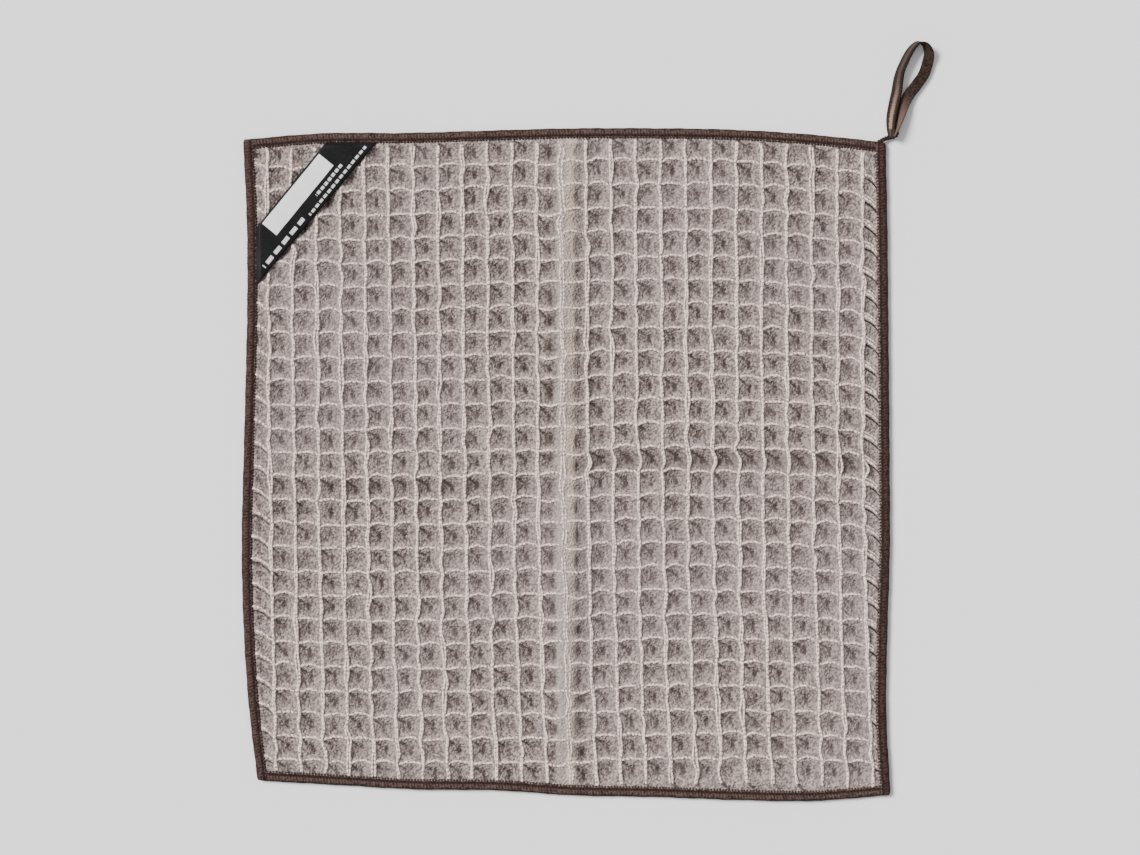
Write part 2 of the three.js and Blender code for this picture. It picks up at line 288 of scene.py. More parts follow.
def between(table, number, place, per_cell=1):
    """Value of a table of chances for a ridge, eased between its entries along the ridge."""
    spot = (place + CELLS_EACH_WAY) * per_cell
    i = np.floor(spot).astype(int)
    t = ease(0, 1, spot - i)
    ridge = np.floor(number).astype(int) + CELLS_EACH_WAY
    return (1 - t) * table[ridge, i] + t * table[ridge, i + 1]


def cell_of(column, row):
    """Table places of the cell that a point lies in, and the point's place in it from 0 to 1."""
    k, j = np.floor(column), np.floor(row)
    cell = (j.astype(int) + CELLS_EACH_WAY, k.astype(int) + CELLS_EACH_WAY)
    return cell, column - k, row - j


def cloth_plan(column, row):
    """Plan place of a weave number on the real cloth: its even place, plus the wander of the
    upright ridges, the arch of the level ones, which is a parabola over each cell, the kink of the
    upright ones in the level fold, and the pull of the edging in the outermost columns. All but
    the pull fades out at the rim."""
    x, y = weave_point(column, row)
    inset = inset_of(x, y)
    (j, k), f, g = cell_of(column, row)
    free = ease(RIM_INSET + 0.5, 8, inset)
    t, s = ease(0, 1, f), ease(0, 1, g)
    sway = (1 - t) * between(COLUMN_WANDER, column, row, 2)
    sway = sway + t * between(COLUMN_WANDER, column + 1, row, 2)
    rise = (1 - s) * (between(ROW_WANDER, row, column) + 4 * f * (1 - f) * ROW_ARCH[j, k])
    rise = rise + s * (between(ROW_WANDER, row + 1, column) + 4 * f * (1 - f) * ROW_ARCH[j + 1, k])
    past_right = np.maximum(column - LAST_COLUMNS[1], 0) * CELL_WIDTH
    past_left = np.minimum(column - LAST_COLUMNS[0], 0) * CELL_WIDTH
    room = np.minimum(y - edge_y("bottom", x), edge_y("top", x) - y)
    pull = (RIGHT_PULL * past_right + LEFT_PULL * past_left) * ease(4, 18, room)
    in_fold = (np.floor(row) == FOLD_ROW) * np.sin(np.pi * row) ** 2 * ease(2, 14, x)
    return x + (sway + FOLD_KINK * in_fold) * free, y + rise * free + pull


def bump(distance, reach):
    """The squared cosine of a distance: 1 at none, and 0 from the reach onwards."""
    return np.where(distance < reach, np.cos(np.pi * distance / (2 * reach)) ** 2, 0)


def crease_lift(x, y):
    """Height that the folds give the cloth: squared-cosine ridges, which fade at the crossing and
    towards the edging. The level fold is a ridge at the left and a valley at the right."""
    grown = ease(CROSSING_FLAT, CROSSING_FLAT + CREASE_GROWS, np.abs(y))
    upright = CREASE_RISE * bump(np.abs(x), CREASE_REACH) * grown
    upright = upright + PRESSED_RISE * bump(np.abs(x - FOLD_X), PRESSED_REACH)
    at_left = ease(CREASE_REACH, CREASE_REACH + CREASE_GROWS, -x)
    at_right = ease(CREASE_REACH, CREASE_REACH + CREASE_GROWS, x)
    ridge = bump(np.abs(y - CROSS_RIDGE_Y), CROSS_REACH) * at_left
    flanks = bump(np.abs(np.abs(y) - VALLEY_FLANK_Y), CROSS_REACH) * at_right
    held = ease(EDGE_FLAT, EDGE_FLAT + CREASE_GROWS, inset_of(x, y))
    return (upright + CROSS_RISE * (ridge + flanks)) * held


def pit(column, row):
    """0 on the ridges and 1 in the middle of a cell: one less the fourth-power mean of the two
    distances from the middle, raised a little so that the walls curve into the floor."""
    cell, f, g = cell_of(column, row)
    a = 2 * f - 1 - PIT_SHIFT[0][cell] * (1 - (2 * f - 1) ** 2)
    b = 2 * g - 1 - PIT_SHIFT[1][cell] * (1 - (2 * g - 1) ** 2)
    reach = np.minimum((np.abs(a) ** 4 + np.abs(b) ** 4) ** 0.25, 1)
    return 1 - reach**1.25


def under_label(x, y):
    """1 where the corner label lies on the cloth and 0 beyond it: the distances inside the two
    long edges of the label, each eased over two millimetres and multiplied."""
    near, far = np.array(LABEL_NEAR), np.array(LABEL_FAR)
    inside = 1.0
    for edge, inward in ((near, 1), (far, -1)):
        way = (edge[1] - edge[0]) / np.linalg.norm(edge[1] - edge[0])
        reach = inward * ((x - edge[0, 0]) * way[1] - (y - edge[0, 1]) * way[0])
        inside = inside * ease(-1.6, 0.4, reach)
    return inside


def level_fold(x, y):
    """How far each place lies in the furrow of the level fold, from 0 to 1, which deepens the pits
    there and is a mask of painted shade: a bell of the fourth power of the distance from its middle
    line. At the right it is the valley's own row of cells, and at the left the row just under the
    fold's ridge."""
    valley = np.exp(-(((y + 0.5) / 5.5) ** 4)) * ease(2, 12, x)
    furrow = 0.6 * np.exp(-(((y + 11.8) / 4.2) ** 4)) * ease(6, 20, -x)
    return valley + furrow


def fold_band(x):
    """1 along the upright fold, where the cloth is pressed flat, and 0 beside it, as the product
    of two eased steps."""
    return ease(-4.1, -2.8, x) * ease(5.8, 4.6, x)


def cloth_face(column, row, x, y):
    """Height of the face: the full thickness less each cell's pit, which has a slit in its middle,
    roughened by chance. The pit is shallow along the upright fold and deep in the level one. At
    the rim the face comes down to the edging's lip and then into its slot."""
    cell, f, g = cell_of(column, row)
    slit = np.exp(-(((f - 0.5) / 0.1) ** 2) - ((g - 0.5) / 0.2) ** 2) * SLIT_DEPTH[cell]
    flat_row = np.exp(-(((y + 0.5) / 5.0) ** 2)) * ease(10, 30, -x)
    deep = 1 + 0.3 * level_fold(x, y) - 0.3 * flat_row
    hollow = RECESS * PIT_DEPTH[cell] * deep * pit(column, row) + SLIT_DEEP * slit
    relief = THICKNESS - hollow * (1 - FOLD_FILLED * fold_band(x))
    relief = relief - LABEL_PRESSED * under_label(x, y)
    grain = chance.normal(0, GRAIN_HEIGHT, relief.shape)
    relief = relief + np.clip(grain, -GRAIN_MOST, GRAIN_MOST)
    inset = inset_of(x, y)
    lip = RIM_HIGH + (LIP_HIGH - RIM_HIGH) * ease(RIM_ENDS, LIP_AT, inset)
    return lip + (relief - lip) * ease(LIP_AT - 0.3, RELIEF_FULL, inset)


def cloth_back(column, row, x, y):
    """Height of the back: the same pits turned over, half a cell on, flat where the folds cross and
    shallow under the label."""
    held = ease(9, 15, np.hypot(x, y)) * (1 - 0.6 * under_label(x, y))
    relief = 0.8 * RECESS * held * pit(column + 0.5, row + 0.5)
    return RIM_LOW + (relief - RIM_LOW) * ease(RIM_ENDS, RELIEF_FULL, inset_of(x, y))


def make_piece(name, points, faces, uv=None, values=None):
    """A smooth-shaded piece from points in millimetres, its faces, and for each point its place on
    the piece's own map and the values of its named attributes. It rides on the towel's body."""
    mesh = bpy.data.meshes.new(name)
    mesh.from_pydata((np.asarray(points) * MM).tolist(), [], faces)
    mesh.polygons.foreach_set("use_smooth", np.ones(len(mesh.polygons), bool))
    if uv is not None:
        corner = np.empty(len(mesh.loops), np.int32)
        mesh.loops.foreach_get("vertex_index", corner)
        layer = mesh.uv_layers.new(name="along")
        layer.data.foreach_set("uv", np.asarray(uv, np.float32)[corner].ravel())
    for key, value in (values or {}).items():
        attribute = mesh.attributes.new(key, "FLOAT", "POINT")
        attribute.data.foreach_set("value", np.asarray(value, np.float32).ravel())
    mesh.update()
    piece = bpy.data.objects.new(name, mesh)
    bpy.context.scene.collection.objects.link(piece)
    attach(piece, "root")
    return piece


def grid_faces(rows, columns, start=0, turned=False):
    """Four-sided faces between neighbouring points of a grid, anticlockwise from above."""
    number = start + np.arange(rows * columns).reshape(rows, columns)
    ring = [number[:-1, :-1], number[:-1, 1:], number[1:, 1:], number[1:, :-1]]
    faces = np.stack([corner.ravel() for corner in ring], axis=1)
    return faces[:, ::-1] if turned else faces


def rim_of(shape, chosen_rows, chosen_columns):
    """The chosen points round a grid's rim, anticlockwise, as row and column numbers."""
    rows, columns = shape
    bottom = [(0, c) for c in chosen_columns[:-1]]
    right = [(r, columns - 1) for r in chosen_rows[:-1]]
    top = [(rows - 1, c) for c in chosen_columns[:0:-1]]
    left = [(r, 0) for r in chosen_rows[:0:-1]]
    return np.array(bottom + right + top + left)


def coarse_lines(cells, rim_steps):
    """Numbers of the face's grid lines that the back follows too: every third line of the strips
    outside the last ridges, and the steps that the back shares with the face."""
    shared = [FACE_STEPS.index(step) for step in BACK_STEPS]
    inner = [rim_steps + cell * len(FACE_STEPS) + step for cell in range(cells) for step in shared]
    last = rim_steps + cells * len(FACE_STEPS)
    return [*range(0, rim_steps, 3), *inner, *range(last, last + rim_steps + 1, 3)]


def make_cloth():
    """The face on its fine grid, the back on the lines that it shares with it, and a strip of
    triangles that joins the two round the rim."""
    column, row = weave_grid(FACE_STEPS, RIM_STEPS)
    x, y = cloth_plan(column, row)
    lift = crease_lift(x, y)
    face = np.stack([x, y, cloth_face(column, row, x, y) + lift], axis=-1)
    back = np.stack([x, y, cloth_back(column, row, x, y) + lift], axis=-1)
    rows = coarse_lines(LAST_ROWS[1] - LAST_ROWS[0], RIM_STEPS)
    columns = coarse_lines(LAST_COLUMNS[1] - LAST_COLUMNS[0], RIM_STEPS)
    pick = np.ix_(rows, columns)
    face_count = face.shape[0] * face.shape[1]
    faces = [
        *grid_faces(*face.shape[:2]).tolist(),
        *grid_faces(len(rows), len(columns), face_count, turned=True).tolist(),
    ]
    every = rim_of(face.shape[:2], list(range(face.shape[0])), list(range(face.shape[1])))
    coarse = rim_of(face.shape[:2], rows, columns)
    fine_number = every[:, 0] * face.shape[1] + every[:, 1]
    back_row = np.searchsorted(rows, coarse[:, 0])
    back_column = np.searchsorted(columns, coarse[:, 1])
    back_number = face_count + back_row * len(columns) + back_column
    coarse_number = coarse[:, 0] * face.shape[1] + coarse[:, 1]
    is_coarse = np.isin(fine_number, coarse_number)
    owner = np.cumsum(is_coarse) - 1
    following = np.roll(fine_number, -1)
    faces += np.stack([following, fine_number, back_number[owner]], axis=1).tolist()
    coarse_following = np.roll(coarse_number, -1)
    back_following = np.roll(back_number, -1)
    faces += np.stack([coarse_following, back_number, back_following], axis=1).tolist()
    numbers = np.stack([column, row], axis=-1)
    inset = inset_of(x, y)
    # The hollow mask is painted shade down in each pit of the face and the back, with a painted
    # shadow of the edging along the rim
    rim_shade = 0.3 * ease(9.0, 6.5, inset)
    hollow = np.maximum(pit(column, row) * ease(RIM_ENDS, RELIEF_FULL, inset), rim_shade)
    hollow_back = pit(column + 0.5, row + 0.5)[pick]
    # Masks of painted shade in the slanted grooves of the outermost columns, along the right edging
    # and the lower part of the left one
    right_streak = ease(LAST_COLUMNS[1] - 0.05, LAST_COLUMNS[1] + 0.1, column)
    left_streak = 0.6 * ease(LAST_COLUMNS[0], LAST_COLUMNS[0] - 0.1, column) * ease(70, 0, y)
    edge_streak = right_streak + left_streak
    at_back = np.zeros(hollow_back.size)
    return make_piece(
        "cloth",
        np.concatenate([face.reshape(-1, 3), back[pick].reshape(-1, 3)]),
        faces,
        uv=np.concatenate([numbers.reshape(-1, 2), numbers[pick].reshape(-1, 2) + 0.5]),
        values={
            "hollow": np.concatenate([hollow.ravel(), hollow_back.ravel()]),
            "furrow": np.concatenate([level_fold(x, y).ravel(), at_back]),
            "pressed": np.concatenate([fold_band(x).ravel(), at_back + 0.5]),
            "edge_streak": np.concatenate([edge_streak.ravel(), at_back]),
        },
    )


def put(tree, kind, inputs=(), **settings):
    """A node with its settings made and its inputs filled: a socket is linked to, and any other
    value is set."""
    node = tree.nodes.new(kind)
    for key, value in settings.items():
        setattr(node, key, value)
    for key, value in dict(inputs).items():
        if isinstance(value, bpy.types.NodeSocket):
            tree.links.new(value, node.inputs[key])
        else:
            node.inputs[key].default_value = value
    return node


def sums(tree, operation, first, second=0.5, third=0.5):
    """Output of a Math node, which leaves aside the numbers that its operation has no use for."""
    inputs = {0: first, 1: second, 2: third}
    return put(tree, "ShaderNodeMath", inputs, operation=operation).outputs[0]


def times(tree, first, second):
    """Output of a Math node that multiplies two numbers."""
    return sums(tree, "MULTIPLY", first, second)


def mixed(tree, share, first, second):
    """Colour that goes from the first to the second as share goes from 0 to 1."""
    inputs = {0: share, 6: first, 7: second}
    return put(tree, "ShaderNodeMix", inputs, data_type="RGBA").outputs[2]


def tinted(tree, body, mask, share, colour):
    """The body's colour with another one mixed in, by the mask times a share."""
    return mixed(tree, times(tree, mask, share), body, tone(*colour))


def noise(tree, place, scale, detail):
    """Output of a Noise Texture node with so many waves in a metre."""
    inputs = {"Vector": place, "Scale": scale, "Detail": detail}
    return put(tree, "ShaderNodeTexNoise", inputs).outputs[0]


def spread(tree, value, low, high, to_low=0.0, to_high=1.0):
    """Output of a Map Range node, eased between its ends."""
    inputs = {0: value, 1: low, 2: high, 3: to_low, 4: to_high}
    return put(tree, "ShaderNodeMapRange", inputs, interpolation_type="SMOOTHSTEP").outputs[0]


def tone(red, green, blue):
    """A colour as the eye sees it, from 0 to 255, as the linear colour that a shader needs."""
    value = np.array([red, green, blue]) / 255
    linear = np.where(value <= 0.04045, value / 12.92, ((value + 0.055) / 1.055) ** 2.4)
    return (*linear.tolist(), 1.0)


def fibre_group():
    """Uneven fluff of the fibres: coarse tufts about a yarn wide, fine hairs in them, and specks,
    each of which catches the light its own way. Size is the number of tufts in a metre."""
    tree = bpy.data.node_groups.new("Fibre fluff", "ShaderNodeTree")
    sockets = {"Size": "INPUT", "Tufts": "OUTPUT", "Hairs": "OUTPUT", "Specks": "OUTPUT"}
    for name, way in sockets.items():
        tree.interface.new_socket(name, in_out=way, socket_type="NodeSocketFloat")
    size = put(tree, "NodeGroupInput").outputs["Size"]
    place = put(tree, "ShaderNodeTexCoord").outputs["Object"]
    tufts = noise(tree, place, size, 1.0)
    hairs = noise(tree, place, times(tree, size, 3.1), 3.0)
    small = times(tree, size, 1.15)
    specks = put(tree, "ShaderNodeTexVoronoi", {"Vector": place, "Scale": small}, feature="F1")
    put(tree, "NodeGroupOutput", {"Tufts": tufts, "Hairs": hairs, "Specks": specks.outputs[1]})
    return tree


FIBRE = fibre_group()


def fibres(tree, size):
    """The fluff group placed in a material, with its tufts, hairs and specks."""
    node = put(tree, "ShaderNodeGroup", {}, node_tree=FIBRE)
    node.inputs["Size"].default_value = size
    return node.outputs["Tufts"], node.outputs["Hairs"], node.outputs["Specks"]


def new_finish(name, roughness, sheen, sheen_colour):
    """A material with its own shader's even values set, its node tree, and the shader."""
    material = bpy.data.materials.new(name)
    material.use_nodes = True
    tree = material.node_tree
    shader = tree.nodes["Principled BSDF"]
    shader.inputs["Roughness"].default_value = roughness
    shader.inputs["Sheen Weight"].default_value = sheen
    shader.inputs["Sheen Roughness"].default_value = 0.6
    shader.inputs["Sheen Tint"].default_value = sheen_colour
    shader.inputs["Specular IOR Level"].default_value = 0.15
    return material, tree, shader


def bumped(tree, shader, height, strength, distance):
    """Joins a height, in units of the distance in millimetres, to the shader's normal."""
    inputs = {"Height": height, "Strength": strength, "Distance": distance * MM}
    tree.links.new(put(tree, "ShaderNodeBump", inputs).outputs[0], shader.inputs["Normal"])


def lines_between(tree, value, low, high, soft):
    """1 between low and high and 0 outside: the product of two eased steps, each soft wide to
    either side."""
    above = spread(tree, value, low - soft, low + soft)
    return times(tree, above, spread(tree, value, high + soft, high - soft))


def named(tree, attribute):
    """Output of one of the piece's own attributes."""
    return put(tree, "ShaderNodeAttribute", {}, attribute_name=attribute).outputs["Fac"]


def own_map(tree):
    """A place on the piece's own map."""
    return put(tree, "ShaderNodeUVMap", {}, uv_map="along").outputs[0]


def split(tree, place):
    """The first two parts of a place."""
    return put(tree, "ShaderNodeSeparateXYZ", {0: place}).outputs[:2]


def cell_shade_masks(tree, wobble):
    """Masks of painted shade in each cell: in a slit in its middle, in a crease that runs to it from
    the upper left corner, and, in the strip along the right edging, in a slanted groove under each
    level ridge. Also the oval of painted shade on its floor, a little to the left, and how far right
    of its middle each place is."""
    cell = put(tree, "ShaderNodeVectorMath", {0: own_map(tree)}, operation="FRACTION").outputs[0]
    across, up = (sums(tree, "SUBTRACT", part, 0.5) for part in split(tree, cell))
    aside = sums(tree, "ABSOLUTE", sums(tree, "ADD", across, wobble))
    off_level = sums(tree, "ABSOLUTE", sums(tree, "ADD", up, 0.03))
    slit = times(tree, spread(tree, aside, *SLIT_ACROSS), spread(tree, off_level, *SLIT_UP))
    off_line = sums(tree, "ABSOLUTE", sums(tree, "ADD", sums(tree, "ADD", across, up), wobble))
    from_middle = sums(tree, "SUBTRACT", up, across)
    narrow = sums(tree, "MULTIPLY_ADD", from_middle, 0.085, 0.045)
    narrow = sums(tree, "MAXIMUM", narrow, times(tree, named(tree, "furrow"), 0.1))
    line = spread(tree, sums(tree, "DIVIDE", off_line, narrow), 1.2, 0.2)
    furrow = sums(tree, "MULTIPLY_ADD", named(tree, "furrow"), 0.7, from_middle)
    crease = times(tree, line, spread(tree, furrow, 0.05, 0.5, 0.1, 1.0))
    crease = times(tree, crease, spread(tree, from_middle, 0.98, 0.84))
    streak = lines_between(tree, up, 0.3, 0.37, 0.04)
    at_edge = named(tree, "edge_streak")
    inside = sums(tree, "SUBTRACT", 1.0, at_edge)
    inner = times(tree, sums(tree, "MAXIMUM", slit, crease), inside)
    off_floor = sums(tree, "ADD", across, sums(tree, "MULTIPLY_ADD", wobble, 0.5, 0.08))
    spot = put(tree, "ShaderNodeCombineXYZ", {0: off_floor, 1: times(tree, up, 0.8)})
    reach = put(tree, "ShaderNodeVectorMath", {0: spot.outputs[0]}, operation="LENGTH")
    shade = times(tree, spread(tree, reach.outputs["Value"], *PIT_SHADE), inside)
    return inner, times(tree, streak, at_edge), shade, across


def cloth_finish():
    """Grey-taupe microfibre: pale on the ridges, with painted shade down in the cells, on their
    walls and in an oval on each floor, mottled by its tufts, with painted shade in its slits and
    creases and a painted shadow along the edging. It is smoother along the pressed upright fold,
    with a painted highlight there, a faint yellowish band in it and painted shade in the cells
    beside it. There is painted shade in the level fold and in the slanted grooves by the edging."""
    material, tree, shader = new_finish("microfibre", 0.95, 0.1, tone(214, 204, 198))
    tufts, _, specks = fibres(tree, CLOTH_TUFTS)
    place = put(tree, "ShaderNodeTexCoord").outputs["Object"]
    patches = noise(tree, place, CLOTH_PATCHES, 1.0)
    slit_shade, streak, shade, across = cell_shade_masks(tree, sums(tree, "MULTIPLY_ADD", tufts, 0.2, -0.1))
    furrow = named(tree, "furrow")
    chosen = sums(tree, "MAXIMUM", spread(tree, patches, 0.3, 0.52, 0.25, 1.0), furrow)
    slit_shade = times(tree, slit_shade, chosen)
    clump = sums(tree, "MULTIPLY_ADD", specks, 0.5, times(tree, tufts, 0.5))
    # Painted shade down in the cells and a painted shadow along the edging
    hollow = spread(tree, named(tree, "hollow"), 0.0, 0.65)
    ground = mixed(tree, hollow, tone(*RIDGE_COLOUR), tone(*HOLLOW_SHADE_COLOUR))
    grain = mixed(tree, spread(tree, clump, 0.32, 0.68), tone(*GRAIN_DARK), tone(*GRAIN_PALE))
    body = mixed(tree, GRAIN_SHARE, ground, grain)
    # Painted shade on the left and right walls of each cell
    left_wall_shade = times(tree, spread(tree, across, 0.12, -0.3), hollow)
    body = tinted(tree, body, left_wall_shade, LEFT_WALL_SHADE_SHARE, LEFT_WALL_SHADE_COLOUR)
    right_wall_shade = times(tree, spread(tree, across, 0.02, 0.3), hollow)
    body = tinted(tree, body, right_wall_shade, RIGHT_WALL_SHADE_SHARE, RIGHT_WALL_SHADE_COLOUR)
    # Painted shade in an oval on each cell's floor
    body = tinted(tree, body, shade, PIT_SHADOW_SHARE, PIT_SHADOW_COLOUR)
    beside, _ = split(tree, place)
    # Painted shade in the cells beside the upright fold
    right_flank = lines_between(tree, beside, *RIGHT_FLANK, 0.7 * MM)
    left_flank = lines_between(tree, beside, *LEFT_FLANK, 0.7 * MM)
    flank_shade = times(tree, sums(tree, "MAXIMUM", right_flank, left_flank), hollow)
    flank_shade = times(tree, flank_shade, spread(tree, patches, 0.3, 0.6, 0.2, 0.5))
    body = mixed(tree, flank_shade, body, tone(*PIT_SHADOW_COLOUR))
    pressed = named(tree, "pressed")
    # Painted highlight along the pressed upright fold, and half of it all over the back
    body = tinted(tree, body, pressed, FOLD_HIGHLIGHT_SHARE, FOLD_HIGHLIGHT_COLOUR)
    # Painted shade along the level fold
    body = tinted(tree, body, furrow, FURROW_SHADE_SHARE, FURROW_SHADE_COLOUR)
    # Painted shade in the slits and creases, weaker along the pressed fold
    plain = sums(tree, "MULTIPLY_ADD", pressed, -0.9, 1.0)
    dark = times(tree, times(tree, slit_shade, plain), SLIT_SHADE_SHARE)
    streak = times(tree, streak, spread(tree, patches, 0.36, 0.48, 0.35, 1.0))
    dark = sums(tree, "MAXIMUM", dark, streak)
    body = mixed(tree, dark, body, tone(*SLIT_SHADE_COLOUR))
    yellowed = lines_between(tree, beside, *YELLOWED, 0.6 * MM)
    yellowed = times(tree, yellowed, spread(tree, patches, 0.34, 0.6, 0.06, 0.45))
    body = mixed(tree, yellowed, body, tone(*YELLOWED_COLOUR))
    broad = noise(tree, place, CLOTH_CASTS, 2.0)
    body = mixed(tree, spread(tree, broad, 0.35, 0.7, 0.0, 0.2), body, tone(*CAST_COLOUR))
    # Painted shade in the slanted grooves by the edging
    body = mixed(tree, streak, body, tone(*GROOVE_SHADE_COLOUR))
    tree.links.new(body, shader.inputs["Base Color"])
    bumped(tree, shader, sums(tree, "MULTIPLY_ADD", dark, -0.4, tufts), 1.0, 1.1)
    return material


cloth = make_cloth()
cloth.data.materials.append(cloth_finish())
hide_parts("cloth_panel")

# Ridge yarns
# The floats of the waffle weave: two fluffy yarns side by side along every upright ridge, and one
# over every level ridge, which dips under them at each crossing. At the right edging the level
# yarns and one more beside each of them are drawn down slantwise to the stitches.
UPRIGHT_RADIUS = 0.54
LEVEL_RADIUS = 0.57
SLANT_RADIUS = 0.36
SLANT_OVER = 0.15
YARN_SIDES = 6
YARN_STEPS = 12
YARN_END = 4.5
YARN_SINK = 0.7
YARN_TWIST = 1.9
LABEL_SINK = 1.0
OPENED_RIDGES = (11, 12)
# Half the distance of two yarns that lie together, and what is added where they part, along the
# upright fold and in the level fold
TOGETHER = 0.13
MOST_PARTED = 0.7
FOLD_PARTED = 0.42
OPENED = 0.9
YARN_TUFTS = 800.0
YARN_DARK = (166, 146, 138)
YARN_PALE = (255, 233, 221)
PARTED = chance.uniform(0, 1, (CELLS, CELLS)) ** 5
BURIED = chance.uniform(0, 1, (CELLS, CELLS)) ** 2


def right_of(path):
    """Level unit vectors to the right of a path at each of its points: its direction in plan,
    which is the slope between its neighbours, turned by a quarter."""
    way = np.gradient(path[:, :2], axis=0)
    way = way / np.linalg.norm(way, axis=1)[:, None]
    return np.stack([way[:, 1], -way[:, 0], np.zeros(len(way))], axis=1)


def tube(path, radius, sides):
    """Points round a path, from its right side over its top: each ring lies square to the path's
    plan direction, and swells and shrinks with the twist of the yarn. Also each point's way round,
    from 0 to 1, and its distance along."""
    step = np.diff(path, axis=0, prepend=2 * path[:1] - path[1:2])
    along = np.cumsum(np.linalg.norm(step, axis=1))
    swell = 1 + 0.13 * np.sin(2 * np.pi * along / YARN_TWIST + path[0, 0])
    swell = swell + chance.normal(0, 0.07, len(path))
    turn = 2 * np.pi * np.arange(sides) / sides
    ring = right_of(path)[:, None, :] * np.cos(turn)[None, :, None]
    ring[:, :, 2] += np.sin(turn)[None, :]
    points = path[:, None, :] + ring * (radius * swell)[:, None, None]
    round_it = np.broadcast_to(np.arange(sides) / sides, points.shape[:2])
    far = np.broadcast_to(along[:, None], points.shape[:2])
    return points.reshape(-1, 3), np.stack([round_it.ravel(), far.ravel()], axis=1)


def tube_faces(steps, sides, start=0, clockwise=False):
    """Faces of a tube with a flat cap at each end, facing out. Seen along its path, the points of
    each ring go round anticlockwise, or else clockwise."""
    ring = start + np.arange(steps * sides).reshape(steps, sides)
    turned = np.roll(ring, -1, axis=1)
    corners = (ring[:-1], ring[1:], turned[1:], turned[:-1])
    quads = np.stack([corner.ravel() for corner in corners], axis=1)
    faces = [*quads.tolist(), ring[0].tolist(), ring[-1][::-1].tolist()]
    return faces if clockwise else [face[::-1] for face in faces]


def yarn_bundle(name, paths, radius, sides):
    """One piece of many yarns, each a tube along its own path."""
    points, faces, uv = [], [], []
    count = 0
    for path in paths:
        tube_points, tube_uv = tube(path, radius, sides)
        points.append(tube_points)
        uv.append(tube_uv)
        faces += tube_faces(len(path), sides, count)
        count += len(tube_points)
    return make_piece(name, np.concatenate(points), faces, uv=np.concatenate(uv))


def on_cloth(x, y, height):
    """Points of a yarn at a height over the table: raised with the folds, sunk under the label
    and where it nears the edging."""
    sunk = YARN_SINK * (1 - ease(RIM_ENDS, RELIEF_FULL, inset_of(x, y)))
    sunk = sunk + LABEL_SINK * under_label(x, y)
    return np.stack([x, y, height + crease_lift(x, y) - sunk], axis=1)


def upright_yarns():
    """Paths of the yarns on the upright ridges: each ridge's own line on the cloth, moved aside by
    half of the two yarns' distance, which swells where they part. In the level fold the last two
    ridges stand open like an eye."""
    row = np.arange(LAST_ROWS[0] - 1, LAST_ROWS[1] + 1, 1 / YARN_STEPS)
    paths = []
    for ridge in range(LAST_COLUMNS[0], LAST_COLUMNS[1] + 1):
        column = np.full(len(row), float(ridge))
        x, y = cloth_plan(column, row)
        apart = TOGETHER + MOST_PARTED * between(PARTED, column, row) + FOLD_PARTED * (ridge == 0)
        if ridge in OPENED_RIDGES:
            apart = apart + OPENED * (np.floor(row) == FOLD_ROW) * np.sin(np.pi * row) ** 2
        for aside in (-1, 1):
            sway = 0.12 * np.sin(row * 5.1 + ridge * 1.7 + aside)
            height = THICKNESS - 0.1 + 0.1 * np.sin(row * 2 * np.pi) - 0.25 * (ridge == 0)
            path = on_cloth(x + aside * apart + sway, y, height)
            paths.append(path[inset_of(x, y) > YARN_END])
    return paths


def level_yarns():
    """Paths of the yarns on the level ridges: each ridge's arched line on the cloth, sunk where it
    passes under the upright yarns."""
    column = np.arange(LAST_COLUMNS[0] - 1, LAST_COLUMNS[1] + 1, 1 / YARN_STEPS)
    paths = []
    for ridge in range(LAST_ROWS[0], LAST_ROWS[1] + 1):
        row = np.full(len(column), float(ridge))
        x, y = cloth_plan(column, row)
        over = np.abs(np.sin(np.pi * column)) ** 0.6
        jitter = chance.normal(0, 0.17, len(x))
        buried = 0.2 * between(BURIED, row, column)
        path = on_cloth(x, y + jitter, THICKNESS - 0.6 + 0.58 * over - buried)
        paths.append(path[inset_of(x, y) > YARN_END])
    return paths


def slant_yarns():
    """Paths of the short yarns beside the right edging: lines of the weave a little over each
    level ridge, from the last upright ridge into the stitches."""
    column = np.arange(LAST_COLUMNS[1], LAST_COLUMNS[1] + 1, 1 / YARN_STEPS)
    paths = []
    for ridge in range(LAST_ROWS[0], LAST_ROWS[1]):
        row = np.full(len(column), ridge + SLANT_OVER)
        x, y = cloth_plan(column, row)
        path = on_cloth(x, y, THICKNESS - 0.35)
        paths.append(path[inset_of(x, y) > YARN_END])
    return [path for path in paths if len(path) > 3]


def yarn_finish():
    """The cloth's microfibre as a fluffy twisted yarn, paler because it stands up to the light."""
    material, tree, shader = new_finish("ridge_yarn", 0.95, 0.15, tone(225, 216, 211))
    tufts, hairs, _ = fibres(tree, YARN_TUFTS)
    round_it, far = split(tree, own_map(tree))
    twist = sums(tree, "ADD", sums(tree, "DIVIDE", far, YARN_TWIST), round_it)
    strand = sums(tree, "SINE", times(tree, twist, 2 * np.pi))
    fluff = sums(tree, "MULTIPLY_ADD", strand, 0.1, sums(tree, "MULTIPLY_ADD", hairs, 0.5, tufts))
    colour = mixed(tree, spread(tree, fluff, 0.55, 0.82), tone(*YARN_DARK), tone(*YARN_PALE))
    tree.links.new(colour, shader.inputs["Base Color"])
    bumped(tree, shader, fluff, 1.0, 0.9)
    return material


YARN = yarn_finish()
YARN_BUNDLES = (
    ("upright_ridge_yarns", upright_yarns(), UPRIGHT_RADIUS),
    ("level_ridge_yarns", level_yarns(), LEVEL_RADIUS),
    ("slant_edge_yarns", slant_yarns(), SLANT_RADIUS),
)
for name, paths, radius in YARN_BUNDLES:
    bundle = yarn_bundle(name, paths, radius, YARN_SIDES)
    bundle.data.materials.append(YARN)

